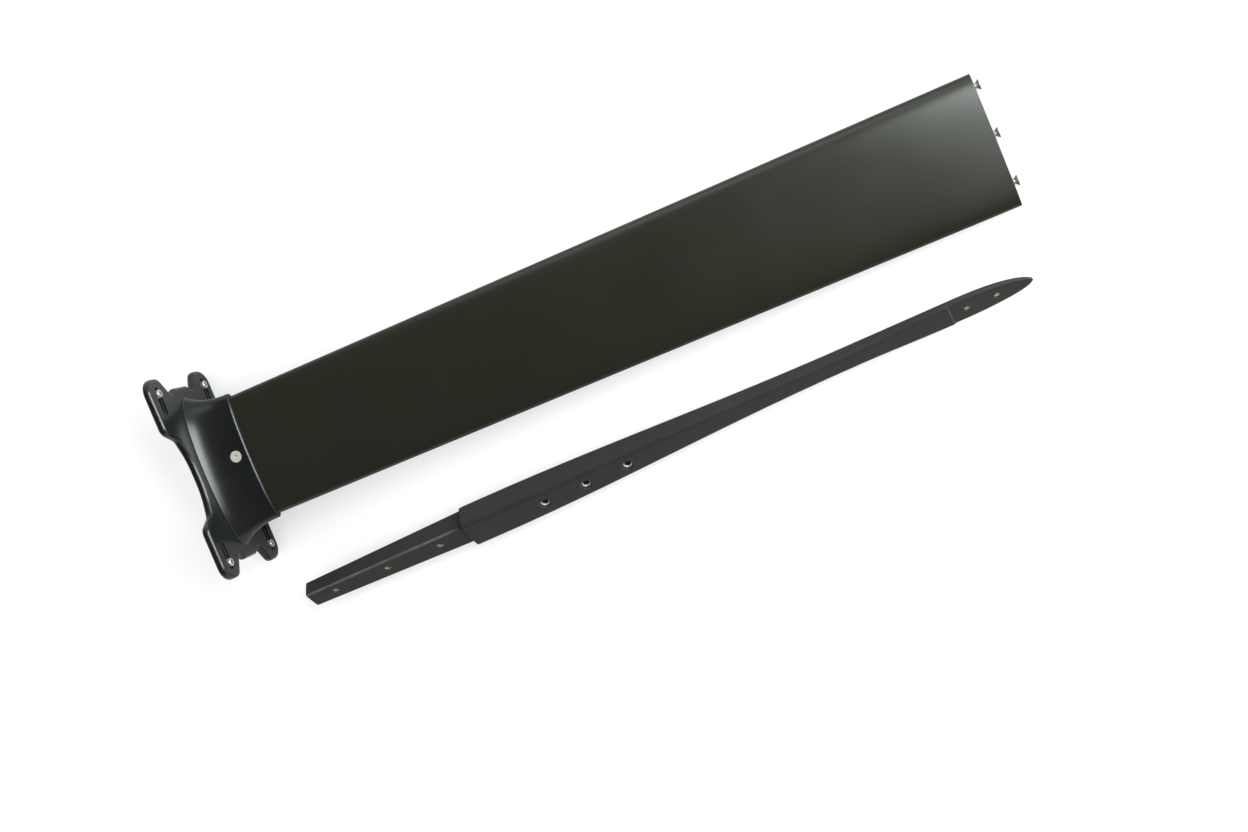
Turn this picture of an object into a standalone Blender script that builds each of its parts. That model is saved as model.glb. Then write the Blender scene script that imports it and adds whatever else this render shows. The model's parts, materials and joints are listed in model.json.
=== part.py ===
"""Hydrofoil mast with its flared head and base plate, and the fuselage lying beside it.

The mast lies on its side, held up at the head by the edge of its base plate. Lengths are in
metres, +X runs along the mast from the plate to the foot, +Y is the leading edge side and +Z is up.
"""

from math import atan, cos, pi, radians, sin, sqrt, tan

import bmesh
import bpy
from mathutils import Euler, Matrix, Vector

MM = 0.001

# Clearances
SEAT_GAP = 0.3 * MM
SLIDE_GAP = 0.3 * MM
CUT_OVER = 2.0 * MM

# Mast
MAST_LENGTH = 759.5 * MM
MAST_CHORD = 117.0 * MM
MAST_THICKNESS = 18.0 * MM
MAST_WALL = 2.4 * MM
SECTION_FULLNESS = 0.9
SECTION_QUARTER_STEPS = 16
CELL_POINTS = 7
RIB_WIDTH = 3.0 * MM

# Screw channels of the mast, which carry the fuselage
SCREW_PITCH = 42.5 * MM
SCREW_CENTRE_Y = 4.7 * MM
INSERT_LENGTH = 12.0 * MM
INSERT_WALL = 0.8 * MM

# Foot screws
SCREW_RADIUS = 2.5 * MM
SCREW_HEAD_RADIUS = 4.8 * MM
SCREW_HEAD_HEIGHT = 2.8 * MM
SCREW_RIM = 0.4 * MM
SCREW_LENGTH = 25.0 * MM
SCREW_PROUD = 4.6 * MM
SCREW_HEX = 1.7 * MM
SCREW_HEX_DEPTH = 1.9 * MM

# Head, a flared socket around the mast's top end
HEAD_HEIGHT = 42.0 * MM
COLLAR_WALL = 3.1 * MM
FLARE_LENGTH = 12.5 * MM
FLARE_WIDTH = 11.0 * MM
FLARE_POWER = 2.6
FLARE_RINGS = 12
COLLAR_ROUND = 1.8 * MM
COLLAR_STEPS = 4

# Base plate
PLATE_END_MARGIN = 15.0 * MM
PLATE_SIDE_MARGIN = 14.5 * MM
PLATE_THICKNESS = 7.4 * MM
PLATE_FILLET = 3.0 * MM
FILLET_STEPS = 3
HUMP_SETBACK = 12.0 * MM
HUMP_HALF_WIDTH = 13.0 * MM
HUMP_RADIUS = 7.0 * MM
NOTCH_SETBACK = 18.5 * MM
NOTCH_HALF_WIDTH = 21.0 * MM
NOTCH_RADIUS = 4.0 * MM
LOBE_INNER_MARGIN = 11.0 * MM
LOBE_INNER_RADIUS = 9.0 * MM
LOBE_RADIUS = 14.0 * MM
LOBE_START = 46.0 * MM
BEND_RADIUS = 9.0 * MM
WAIST_START = 37.0 * MM
WAIST_SIDE_Z = 41.5 * MM
WAIST_MID_Z = 34.0 * MM
WAIST_MID_REACH = 16.0 * MM
WAIST_MID_RADIUS = 60.0 * MM
CORNER_STEPS = 6

# Track bolts and their slots
TRACK_LENGTH = 165.0 * MM
TRACK_WIDTH = 90.0 * MM
SLOT_TRAVEL = 16.5 * MM
SLOT_END_ROOM = 2.0 * MM
SLOT_CLEARANCE = 0.6 * MM
SLOT_SEAT_DEPTH = 2.2 * MM
SLOT_SEAT_CLEARANCE = 0.6 * MM
BOLT_RADIUS = 2.4 * MM
BOLT_HEAD_RADIUS = 3.9 * MM
BOLT_HEAD_HEIGHT = 4.2 * MM
BOLT_DROP = 4.5 * MM
BOLT_HEX = 2.0 * MM
BOLT_HEX_DEPTH = 2.4 * MM
BOLT_EDGE = 0.6 * MM

# Plate screws, from the board side into the head's two ends
PLATE_SCREW_Y = 63.0 * MM
PLATE_SCREW_RADIUS = 2.3 * MM
PLATE_SCREW_HEAD_RADIUS = 4.6 * MM
PLATE_SCREW_HEAD_HEIGHT = 2.5 * MM
PLATE_SCREW_DEPTH = 9.0 * MM
PLATE_SCREW_HEX = 1.6 * MM
PLATE_SCREW_HEX_DEPTH = 1.6 * MM

# Clamp bolt across head and mast
CLAMP_X = 30.0 * MM
CLAMP_HEAD_RADIUS = 5.4 * MM
CLAMP_HEAD_HEIGHT = 1.5 * MM
CLAMP_HEAD_PROUD = 0.4 * MM
CLAMP_SLEEVE_RADIUS = 3.9 * MM
CLAMP_RADIUS = 2.4 * MM
CLAMP_LENGTH = 17.0 * MM
CLAMP_HEX = 2.0 * MM
CLAMP_HEX_DEPTH = 1.6 * MM

# Fuselage, measured along its own axis from the tip of the tongue
TONGUE_LENGTH = 174.5 * MM
TONGUE_TIP_WIDTH = 20.2 * MM
TONGUE_TIP_HEIGHT = 16.5 * MM
TONGUE_ROOT_WIDTH = 25.8 * MM
TONGUE_ROOT_HEIGHT = 21.2 * MM
TONGUE_TIP_EDGE = 1.5 * MM
SHOULDER_LENGTH = 1.2 * MM
SHOULDER_ROUND = 1.5 * MM
BODY_WIDTH = 34.3 * MM
BODY_HEIGHT = 29.3 * MM
BODY_STRAIGHT = 20.0 * MM
WAIST_AT = 566.0 * MM
WAIST_WIDTH = 18.7 * MM
WAIST_HEIGHT = 13.4 * MM
SEAT_AT = 651.0 * MM
SEAT_WIDTH = 25.4 * MM
SEAT_HEIGHT = 10.0 * MM
SEAT_STEP = 1.0 * MM
SEAT_LENGTH = 73.0 * MM
SEAT_POWER = 2.7
SEAT_NOSE = 0.55
TIP_WIDTH = 1.6 * MM
TIP_HEIGHT = 3.0 * MM
TONGUE_ROUND = 2.2 * MM
BODY_ROUND = 5.0 * MM
WAIST_ROUND = 4.0 * MM
SEAT_ROUND = 3.4 * MM
PAD_CHAMFER = 6.5 * MM
TONGUE_CHAMFER = 1.8 * MM
WAIST_CHAMFER = 2.3 * MM
SEAT_CHAMFER = 4.0 * MM
BODY_STATIONS = 12
NECK_STATIONS = 5
SEAT_STATIONS = 12
SHOULDER_STEPS = 3
ROUND_STEPS = 5

# Holes of the fuselage
WING_HOLE_COUNT = 3
WING_HOLE_FIRST = 29.0 * MM
WING_HOLE_PITCH = 58.0 * MM
WING_HOLE_RADIUS = 3.6 * MM
MAST_HOLE_MIDDLE = 299.0 * MM
MAST_HOLE_CLEARANCE = 0.5 * MM
MAST_SINK_CLEARANCE = 0.9 * MM
TAIL_HOLE_COUNT = 2
TAIL_HOLE_FIRST = 666.0 * MM
TAIL_HOLE_PITCH = 26.5 * MM
TAIL_HOLE_RADIUS = 2.9 * MM
FUSELAGE_INSERT_WALL = 0.9 * MM
FUSELAGE_INSERT_SINK = 1.5 * MM

# Where the fuselage lies
FUSELAGE_OFFSET_X = 20.0 * MM
FUSELAGE_OFFSET_Y = -141.9 * MM
FUSELAGE_YAW = radians(2.05)
FUSELAGE_ROLL = radians(45.0)

# Facets of the round pieces
SCREW_STEPS = 20
HOLE_STEPS = 20
SLOT_STEPS = 9
HEX_SIDES = 6
FLAT_ANGLE = radians(0.05)
SMOOTH_ANGLE = radians(30.0)
WELD_DISTANCE = 0.005 * MM
AXIS_WELD_DISTANCE = 0.01 * MM
SLIVER_LENGTH = 0.08 * MM
EDGE_SHARE = 0.9

# Sizes that follow from those above
SECTION_POINTS = 4 * SECTION_QUARTER_STEPS
PLATE_HALF_LENGTH = TRACK_LENGTH / 2 + PLATE_END_MARGIN
PLATE_HALF_WIDTH = TRACK_WIDTH / 2 + PLATE_SIDE_MARGIN
HUMP_REACH = PLATE_HALF_LENGTH - HUMP_SETBACK
NOTCH_REACH = PLATE_HALF_LENGTH - NOTCH_SETBACK
LOBE_INNER_Z = TRACK_WIDTH / 2 - LOBE_INNER_MARGIN
INSERT_BORE_RADIUS = SCREW_RADIUS + SLIDE_GAP
INSERT_RADIUS = INSERT_BORE_RADIUS + INSERT_WALL
CHANNEL_RADIUS = INSERT_RADIUS + SLIDE_GAP
MAST_HOLE_RADIUS = SCREW_RADIUS + MAST_HOLE_CLEARANCE
MAST_SINK_RADIUS = SCREW_HEAD_RADIUS + MAST_SINK_CLEARANCE
COLLAR_HALF_CHORD = MAST_CHORD / 2 + SLIDE_GAP + COLLAR_WALL
COLLAR_HALF_THICKNESS = MAST_THICKNESS / 2 + SLIDE_GAP + COLLAR_WALL
SLOT_RADIUS = BOLT_RADIUS + SLOT_CLEARANCE
SLOT_SEAT_RADIUS = BOLT_HEAD_RADIUS + SLOT_SEAT_CLEARANCE
SLOT_INNER_Y = TRACK_LENGTH / 2 - SLOT_TRAVEL
SLOT_OUTER_Y = TRACK_LENGTH / 2 + SLOT_END_ROOM
CLAMP_BORE_RADIUS = CLAMP_SLEEVE_RADIUS + SLIDE_GAP
CLAMP_HALF_SPAN = COLLAR_HALF_THICKNESS + CLAMP_HEAD_PROUD
SHOULDER_AT = TONGUE_LENGTH + SHOULDER_LENGTH
REST_DROP = PLATE_HALF_WIDTH - MAST_THICKNESS / 2
MAST_TILT = atan(REST_DROP / (MAST_LENGTH + PLATE_FILLET))


# Scene helpers

def clear_scene():
    for item in list(bpy.data.objects):
        bpy.data.objects.remove(item, do_unlink=True)


def new_collection(name):
    group = bpy.data.collections.new(name)
    bpy.context.scene.collection.children.link(group)
    return group


def new_material(name, colour, roughness, metallic):
    made = bpy.data.materials.new(name)
    made.use_nodes = True
    shader = made.node_tree.nodes["Principled BSDF"]
    shader.inputs["Base Color"].default_value = (*colour, 1.0)
    shader.inputs["Roughness"].default_value = roughness
    shader.inputs["Metallic"].default_value = metallic
    return made


def new_empty(name):
    empty = bpy.data.objects.new(name, None)
    PARTS.objects.link(empty)
    return empty


def add_part(name, mesh, parent, look):
    part = bpy.data.objects.new(name, mesh)
    PARTS.objects.link(part)
    part.parent = parent
    mesh.materials.append(look)
    mesh.shade_smooth()
    mesh.set_sharp_from_angle(angle=SMOOTH_ANGLE)
    return part


def add_cutter(name, mesh, parent):
    cutter = bpy.data.objects.new(name, mesh)
    CUTTERS.objects.link(cutter)
    cutter.parent = parent
    cutter.hide_render = True
    cutter.display_type = "WIRE"
    return cutter


def cut(part, cutter):
    step = part.modifiers.new(cutter.name, "BOOLEAN")
    step.operation = "DIFFERENCE"
    step.solver = "EXACT"
    step.object = cutter


def close_slivers(part):
    """Closes up the very short edges that cuts leave."""
    step = part.modifiers.new("slivers", "WELD")
    step.merge_threshold = SLIVER_LENGTH


# Outlines in a plane

def round_corners(corners, steps):
    """Points of a closed outline whose corners are (u, v, radius)."""
    points = []
    for index, (u, v, radius) in enumerate(corners):
        here = Vector((u, v))
        before = Vector(corners[index - 1][:2])
        after = Vector(corners[(index + 1) % len(corners)][:2])
        towards_before = (before - here).normalized()
        towards_after = (after - here).normalized()
        half_angle = towards_before.angle(towards_after) / 2
        reach = radius / abs(sin(half_angle) / cos(half_angle))
        middle = here + (towards_before + towards_after).normalized() * radius / sin(half_angle)
        start = here + towards_before * reach - middle
        end = here + towards_after * reach - middle
        sweep = start.angle_signed(end)
        for step in range(steps + 1):
            turn = Matrix.Rotation(-sweep * step / steps, 2)
            points.append(middle + turn @ start)
    return points


def foil_outline(half_chord, half_thickness, count):
    """A foil section with its leading edge at +u, as a closed list of points."""
    points = []
    for index in range(count):
        angle = 2 * pi * index / count
        rise = abs(sin(angle)) ** SECTION_FULLNESS
        side = 1.0 if sin(angle) >= 0.0 else -1.0
        points.append(Vector((half_chord * cos(angle), half_thickness * rise * side)))
    return points


def foil_half_thickness(offset, half_chord, half_thickness):
    share = min(abs(offset) / half_chord, 1.0)
    return half_thickness * sqrt(1.0 - share * share) ** SECTION_FULLNESS


def circle_outline(u, v, radius, count):
    return [
        Vector((u + radius * cos(2 * pi * i / count), v + radius * sin(2 * pi * i / count)))
        for i in range(count)
    ]


def slot_outline(u_low, u_high, v, radius, steps):
    """A slot along u with round ends."""
    points = []
    for step in range(steps + 1):
        angle = -pi / 2 + pi * step / steps
        points.append(Vector((u_high + radius * cos(angle), v + radius * sin(angle))))
    for step in range(steps + 1):
        angle = pi / 2 + pi * step / steps
        points.append(Vector((u_low + radius * cos(angle), v + radius * sin(angle))))
    return points


# Solids

def along_mast(low, high):
    """Turns an outline's (u, v, w) into the mast's (y, z, x), with w running from low to high."""
    turn = Matrix(((0, 0, 1, 0), (1, 0, 0, 0), (0, 1, 0, 0), (0, 0, 0, 1)))
    return Matrix.Translation(((low + high) / 2, 0, 0)) @ turn


def extruded(name, outlines, low, high, fillet=0.0):
    """Closed outlines filled and extruded along the mast's axis, with an optional rim fillet."""
    curve = bpy.data.curves.new(name, "CURVE")
    curve.dimensions = "2D"
    curve.fill_mode = "BOTH"
    curve.extrude = (high - low) / 2 - fillet
    curve.bevel_depth = fillet
    curve.bevel_resolution = FILLET_STEPS
    curve.offset = -fillet
    for outline in outlines:
        spline = curve.splines.new("POLY")
        spline.points.add(len(outline) - 1)
        for point, place in zip(spline.points, outline):
            point.co = (place.x, place.y, 0.0, 1.0)
        spline.use_cyclic_u = True
    holder = bpy.data.objects.new(name + "_outline", curve)
    bpy.context.scene.collection.objects.link(holder)
    graph = bpy.context.evaluated_depsgraph_get()
    mesh = bpy.data.meshes.new_from_object(holder.evaluated_get(graph))
    bpy.data.objects.remove(holder, do_unlink=True)
    bpy.data.curves.remove(curve)
    work = bmesh.new()
    work.from_mesh(mesh)
    bmesh.ops.remove_doubles(work, verts=work.verts, dist=WELD_DISTANCE)
    bmesh.ops.dissolve_limit(work, angle_limit=FLAT_ANGLE, verts=work.verts, edges=work.edges)
    bmesh.ops.recalc_face_normals(work, faces=work.faces)
    work.to_mesh(mesh)
    work.free()
    mesh.materials.clear()
    mesh.name = name
    mesh.transform(along_mast(low, high))
    return mesh


def lofted(name, rings, closed_loop=False):
    """Skin over rings of equal length, capped at both ends or joined last to first."""
    work = bmesh.new()
    rows = [[work.verts.new(point) for point in ring] for ring in rings]
    count = len(rows[0])
    pairs = list(zip(rows, rows[1:]))
    if closed_loop:
        pairs.append((rows[-1], rows[0]))
    for first, second in pairs:
        for index in range(count):
            after = (index + 1) % count
            work.faces.new((first[index], first[after], second[after], second[index]))
    if not closed_loop:
        work.faces.new(rows[0])
        work.faces.new(rows[-1])
    bmesh.ops.recalc_face_normals(work, faces=work.faces)
    mesh = bpy.data.meshes.new(name)
    work.to_mesh(mesh)
    work.free()
    return mesh


def cylinder(name, radius, low, high, top_radius=None, steps=HOLE_STEPS):
    """A cylinder or cone along its own Z, from low to high."""
    work = bmesh.new()
    bmesh.ops.create_cone(
        work,
        cap_ends=True,
        segments=steps,
        radius1=radius,
        radius2=radius if top_radius is None else top_radius,
        depth=high - low,
        matrix=Matrix.Translation((0, 0, (low + high) / 2)),
    )
    mesh = bpy.data.meshes.new(name)
    work.to_mesh(mesh)
    work.free()
    return mesh


def turned(name, profile, parent, look, closed=False):
    """A profile of (radius, height) pairs turned about its own Z, from top to bottom."""
    mesh = bpy.data.meshes.new(name)
    edges = [(i, i + 1) for i in range(len(profile) - 1)]
    if closed:
        edges.append((len(profile) - 1, 0))
    mesh.from_pydata([(radius, 0.0, height) for radius, height in profile], edges, [])
    part = bpy.data.objects.new(name, mesh)
    PARTS.objects.link(part)
    part.parent = parent
    mesh.materials.append(look)
    spin = part.modifiers.new("turn", "SCREW")
    spin.steps = SCREW_STEPS
    spin.render_steps = SCREW_STEPS
    spin.use_merge_vertices = True
    spin.merge_threshold = AXIS_WELD_DISTANCE
    spin.use_smooth_shade = True
    return part


def hex_recess(part, radius, top, depth):
    """A hexagon socket cut down from the top of a turned piece."""
    mesh = cylinder(part.name + "_socket", radius, top - depth, top + CUT_OVER, steps=HEX_SIDES)
    cut(part, add_cutter(part.name + "_socket", mesh, part))


# Mast group

def head_ring(x, half_chord, half_thickness):
    return [Vector((x, p.x, p.y)) for p in foil_outline(half_chord, half_thickness, SECTION_POINTS)]


def channel_places():
    return [SCREW_CENTRE_Y + SCREW_PITCH * step for step in (1, 0, -1)]


def cell_outline(low, high):
    """One hollow cell of the mast between two ribs, following the foil inside its wall."""
    inner_chord = MAST_CHORD / 2 - MAST_WALL
    inner_thickness = MAST_THICKNESS / 2 - MAST_WALL
    places = [low + (high - low) * i / (CELL_POINTS - 1) for i in range(CELL_POINTS)]
    upper = [Vector((y, foil_half_thickness(y, inner_chord, inner_thickness))) for y in places]
    lower = [Vector((p.x, -p.y)) for p in reversed(upper)]
    return upper + lower


def build_mast(frame):
    outlines = [foil_outline(MAST_CHORD / 2, MAST_THICKNESS / 2, SECTION_POINTS)]
    places = channel_places()
    boss = CHANNEL_RADIUS + RIB_WIDTH
    cells = [(places[1] + boss, places[0] - boss), (places[2] + boss, places[1] - boss)]
    for low, high in cells:
        outlines.append(cell_outline(low, high))
    for place in places:
        outlines.append(circle_outline(place, 0.0, CHANNEL_RADIUS, HOLE_STEPS))
    mesh = extruded("mast_extrusion", outlines, SEAT_GAP, MAST_LENGTH)
    mast = add_part("mast_extrusion", mesh, frame, BLACK_ALLOY)
    bore = cylinder("clamp_bore", CLAMP_BORE_RADIUS, -MAST_THICKNESS, MAST_THICKNESS)
    cutter = add_cutter("clamp_bore", bore, frame)
    cutter.location = (CLAMP_X, SCREW_CENTRE_Y, 0.0)
    cut(mast, cutter)
    close_slivers(mast)
    return mast


def build_head(frame):
    rings = []
    for step in range(FLARE_RINGS + 1):
        x = SEAT_GAP + (HEAD_HEIGHT - COLLAR_ROUND - SEAT_GAP) * step / FLARE_RINGS
        spread = (1.0 - x / HEAD_HEIGHT) ** FLARE_POWER
        half_chord = COLLAR_HALF_CHORD + FLARE_LENGTH * spread
        rings.append(head_ring(x, half_chord, COLLAR_HALF_THICKNESS + FLARE_WIDTH * spread))
    for step in range(1, COLLAR_STEPS + 1):
        angle = pi / 2 * step / COLLAR_STEPS
        x = HEAD_HEIGHT - COLLAR_ROUND + COLLAR_ROUND * sin(angle)
        inset = COLLAR_ROUND * (1.0 - cos(angle))
        rings.append(head_ring(x, COLLAR_HALF_CHORD - inset, COLLAR_HALF_THICKNESS - inset))
    socket_chord = MAST_CHORD / 2 + SLIDE_GAP
    socket_thickness = MAST_THICKNESS / 2 + SLIDE_GAP
    rings.append(head_ring(HEAD_HEIGHT, socket_chord, socket_thickness))
    rings.append(head_ring(SEAT_GAP, socket_chord, socket_thickness))
    head = add_part("mast_head", lofted("mast_head", rings, closed_loop=True), frame, BLACK_CAST)
    seat_low = CLAMP_HALF_SPAN - CLAMP_HEAD_HEIGHT - SLIDE_GAP
    bore_high = COLLAR_HALF_THICKNESS + FLARE_WIDTH
    for side in (1, -1):
        name = "clamp_seat_near" if side > 0 else "clamp_seat_far"
        seat = cylinder(name, CLAMP_HEAD_RADIUS + SLIDE_GAP, seat_low, bore_high)
        cutter = add_cutter(name, seat, frame)
        cutter.location = (CLAMP_X, SCREW_CENTRE_Y, 0.0)
        cutter.rotation_euler = (0.0 if side > 0 else pi, 0.0, 0.0)
        cut(head, cutter)
    bore = cylinder("head_clamp_bore", CLAMP_BORE_RADIUS, -bore_high, bore_high)
    cutter = add_cutter("head_clamp_bore", bore, frame)
    cutter.location = (CLAMP_X, SCREW_CENTRE_Y, 0.0)
    cut(head, cutter)
    for side in (1, -1):
        name = "plate_screw_hole_front" if side > 0 else "plate_screw_hole_back"
        reach = PLATE_SCREW_DEPTH + SLIDE_GAP
        hole = cylinder(name, PLATE_SCREW_RADIUS + SLIDE_GAP, -CUT_OVER, reach)
        cutter = add_cutter(name, hole, frame)
        cutter.location = (0.0, side * PLATE_SCREW_Y, 0.0)
        cutter.rotation_euler = (0.0, pi / 2, 0.0)
        cut(head, cutter)
    close_slivers(head)
    return head


def plate_quarter():
    """Corners of a quarter of the plate, from the hump at its end to the waist at its side."""
    return [
        (HUMP_REACH, HUMP_HALF_WIDTH, HUMP_RADIUS),
        (NOTCH_REACH, NOTCH_HALF_WIDTH, NOTCH_RADIUS),
        (PLATE_HALF_LENGTH, LOBE_INNER_Z, LOBE_INNER_RADIUS),
        (PLATE_HALF_LENGTH, PLATE_HALF_WIDTH, LOBE_RADIUS),
        (LOBE_START, PLATE_HALF_WIDTH, BEND_RADIUS),
        (WAIST_START, WAIST_SIDE_Z, BEND_RADIUS),
        (WAIST_MID_REACH, WAIST_MID_Z, WAIST_MID_RADIUS),
    ]


def plate_outline():
    quarter = plate_quarter()
    back = [(-u, v, r) for u, v, r in reversed(quarter)]
    below = [(u, -v, r) for u, v, r in reversed(quarter + back)]
    return round_corners(quarter + back + below, CORNER_STEPS)


def build_plate(frame):
    outline = plate_outline()
    mesh = extruded("base_plate", [outline], -PLATE_THICKNESS, 0.0, PLATE_FILLET)
    plate = add_part("base_plate", mesh, frame, BLACK_CAST)
    slot_z = TRACK_WIDTH / 2
    through = (-PLATE_THICKNESS - CUT_OVER, CUT_OVER)
    seat = (-SLOT_SEAT_DEPTH, CUT_OVER)
    number = 0
    for end in (1, -1):
        for side in (1, -1):
            number += 1
            low, high = sorted((end * SLOT_INNER_Y, end * SLOT_OUTER_Y))
            for name, radius, span in (
                ("slot", SLOT_RADIUS, through),
                ("slot_seat", SLOT_SEAT_RADIUS, seat),
            ):
                shape = slot_outline(low, high, side * slot_z, radius, SLOT_STEPS)
                solid = extruded(f"{name}_{number}", [shape], *span)
                cut(plate, add_cutter(f"{name}_{number}", solid, frame))
    for side in (1, -1):
        name = "plate_sink_front" if side > 0 else "plate_sink_back"
        hole = cylinder(name, PLATE_SCREW_RADIUS + SLIDE_GAP, *through)
        hole_cutter = add_cutter(name + "_bore", hole, frame)
        slope = (PLATE_SCREW_HEAD_RADIUS - PLATE_SCREW_RADIUS) / PLATE_SCREW_HEAD_HEIGHT
        wide = PLATE_SCREW_HEAD_RADIUS + SLIDE_GAP + 2 * SLIDE_GAP * slope
        narrow = PLATE_SCREW_RADIUS + SLIDE_GAP
        sink_low = -PLATE_THICKNESS - SLIDE_GAP
        sink_high = -PLATE_THICKNESS + SLIDE_GAP + PLATE_SCREW_HEAD_HEIGHT
        sink = cylinder(name, wide, sink_low, sink_high, top_radius=narrow)
        sink_cutter = add_cutter(name, sink, frame)
        for cutter in (hole_cutter, sink_cutter):
            cutter.location = (0.0, side * PLATE_SCREW_Y, 0.0)
            cutter.rotation_euler = (0.0, pi / 2, 0.0)
            cut(plate, cutter)
    close_slivers(plate)
    return plate


def build_plate_screws(frame):
    top = PLATE_THICKNESS - SLIDE_GAP
    neck = top - PLATE_SCREW_HEAD_HEIGHT
    profile = [
        (0.0, top),
        (PLATE_SCREW_HEAD_RADIUS, top),
        (PLATE_SCREW_RADIUS, neck),
        (PLATE_SCREW_RADIUS, -PLATE_SCREW_DEPTH),
        (0.0, -PLATE_SCREW_DEPTH),
    ]
    screws = []
    for number, side in enumerate((1, -1), start=1):
        screw = turned(f"plate_screw_{number}", profile, frame, STEEL)
        screw.location = (0.0, side * PLATE_SCREW_Y, 0.0)
        screw.rotation_euler = (0.0, -pi / 2, 0.0)
        hex_recess(screw, PLATE_SCREW_HEX, top, PLATE_SCREW_HEX_DEPTH)
        screws.append(screw)
    return screws


def build_clamp(frame):
    top = CLAMP_HALF_SPAN
    under = top - CLAMP_HEAD_HEIGHT
    bolt_profile = [
        (0.0, top),
        (CLAMP_HEAD_RADIUS, top),
        (CLAMP_HEAD_RADIUS, under),
        (CLAMP_RADIUS, under),
        (CLAMP_RADIUS, top - CLAMP_LENGTH),
        (0.0, top - CLAMP_LENGTH),
    ]
    bolt = turned("clamp_bolt", bolt_profile, frame, BRIGHT_STEEL)
    bolt.location = (CLAMP_X, SCREW_CENTRE_Y, 0.0)
    hex_recess(bolt, CLAMP_HEX, top, CLAMP_HEX_DEPTH)
    sleeve_high = under - SLIDE_GAP
    bore = CLAMP_RADIUS + SLIDE_GAP
    floor = top - CLAMP_LENGTH - SLIDE_GAP
    sleeve_profile = [
        (bore, sleeve_high),
        (CLAMP_SLEEVE_RADIUS, sleeve_high),
        (CLAMP_SLEEVE_RADIUS, -under),
        (CLAMP_HEAD_RADIUS, -under),
        (CLAMP_HEAD_RADIUS, -top),
        (0.0, -top),
        (0.0, floor),
        (bore, floor),
    ]
    sleeve = turned("clamp_sleeve_nut", sleeve_profile, frame, BRIGHT_STEEL, closed=True)
    sleeve.location = (CLAMP_X, SCREW_CENTRE_Y, 0.0)
    return [bolt, sleeve]


def build_track_bolts(frame):
    seat = -SLOT_SEAT_DEPTH + SEAT_GAP
    top = seat + BOLT_HEAD_HEIGHT
    tip = -PLATE_THICKNESS - BOLT_DROP
    profile = [
        (0.0, top),
        (BOLT_HEAD_RADIUS - BOLT_EDGE, top),
        (BOLT_HEAD_RADIUS, top - BOLT_EDGE),
        (BOLT_HEAD_RADIUS, seat),
        (BOLT_RADIUS, seat),
        (BOLT_RADIUS, tip),
        (0.0, tip),
    ]
    bolts = []
    for end in (1, -1):
        for side in (1, -1):
            bolt = turned(f"track_bolt_{len(bolts) + 1}", profile, frame, STEEL)
            bolt.location = (0.0, end * TRACK_LENGTH / 2, side * TRACK_WIDTH / 2)
            bolt.rotation_euler = (0.0, pi / 2, 0.0)
            hex_recess(bolt, BOLT_HEX, top, BOLT_HEX_DEPTH)
            bolts.append(bolt)
    return bolts


def build_foot(frame):
    top = SCREW_PROUD
    under = top - SCREW_HEAD_HEIGHT
    screw_profile = [
        (0.0, top),
        (SCREW_HEAD_RADIUS, top),
        (SCREW_HEAD_RADIUS, top - SCREW_RIM),
        (SCREW_RADIUS, under),
        (SCREW_RADIUS, top - SCREW_LENGTH),
        (0.0, top - SCREW_LENGTH),
    ]
    insert_profile = [
        (INSERT_BORE_RADIUS, -SEAT_GAP),
        (INSERT_RADIUS, -SEAT_GAP),
        (INSERT_RADIUS, -INSERT_LENGTH),
        (INSERT_BORE_RADIUS, -INSERT_LENGTH),
    ]
    pieces = []
    for number, place in enumerate(channel_places(), start=1):
        screw = turned(f"foot_screw_{number}", screw_profile, frame, STEEL)
        insert = turned(f"foot_insert_{number}", insert_profile, frame, STEEL, closed=True)
        for piece in (screw, insert):
            piece.location = (MAST_LENGTH, place, 0.0)
            piece.rotation_euler = (0.0, pi / 2, 0.0)
            pieces.append(piece)
        hex_recess(screw, SCREW_HEX, top, SCREW_HEX_DEPTH)
    return pieces


# Fuselage group

def ease(share):
    return 0.5 - 0.5 * cos(pi * share)


def between(first, second, share):
    return first + (second - first) * share


def fuselage_ring(at, width, above, below, rounding, chamfer):
    """A section with rounded upper corners and chamfered lower ones; above and below are from the axis."""
    half = width / 2
    room = min(half, (above + below) / 2) * EDGE_SHARE
    rounding = min(rounding, room)
    chamfer = min(chamfer, room)
    rise = chamfer * tan(FUSELAGE_ROLL)
    points = []
    for side in (1, -1):
        for step in range(ROUND_STEPS + 1):
            angle = pi / 2 * step / ROUND_STEPS + (0.0 if side > 0 else pi / 2)
            across = side * (half - rounding) + rounding * cos(angle)
            points.append((across, above - rounding + rounding * sin(angle)))
    points.append((-half, -below + rise))
    points.append((-half + chamfer, -below))
    points.append((half - chamfer, -below))
    points.append((half, -below + rise))
    return [Vector((at, s, n)) for s, n in points]


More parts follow.
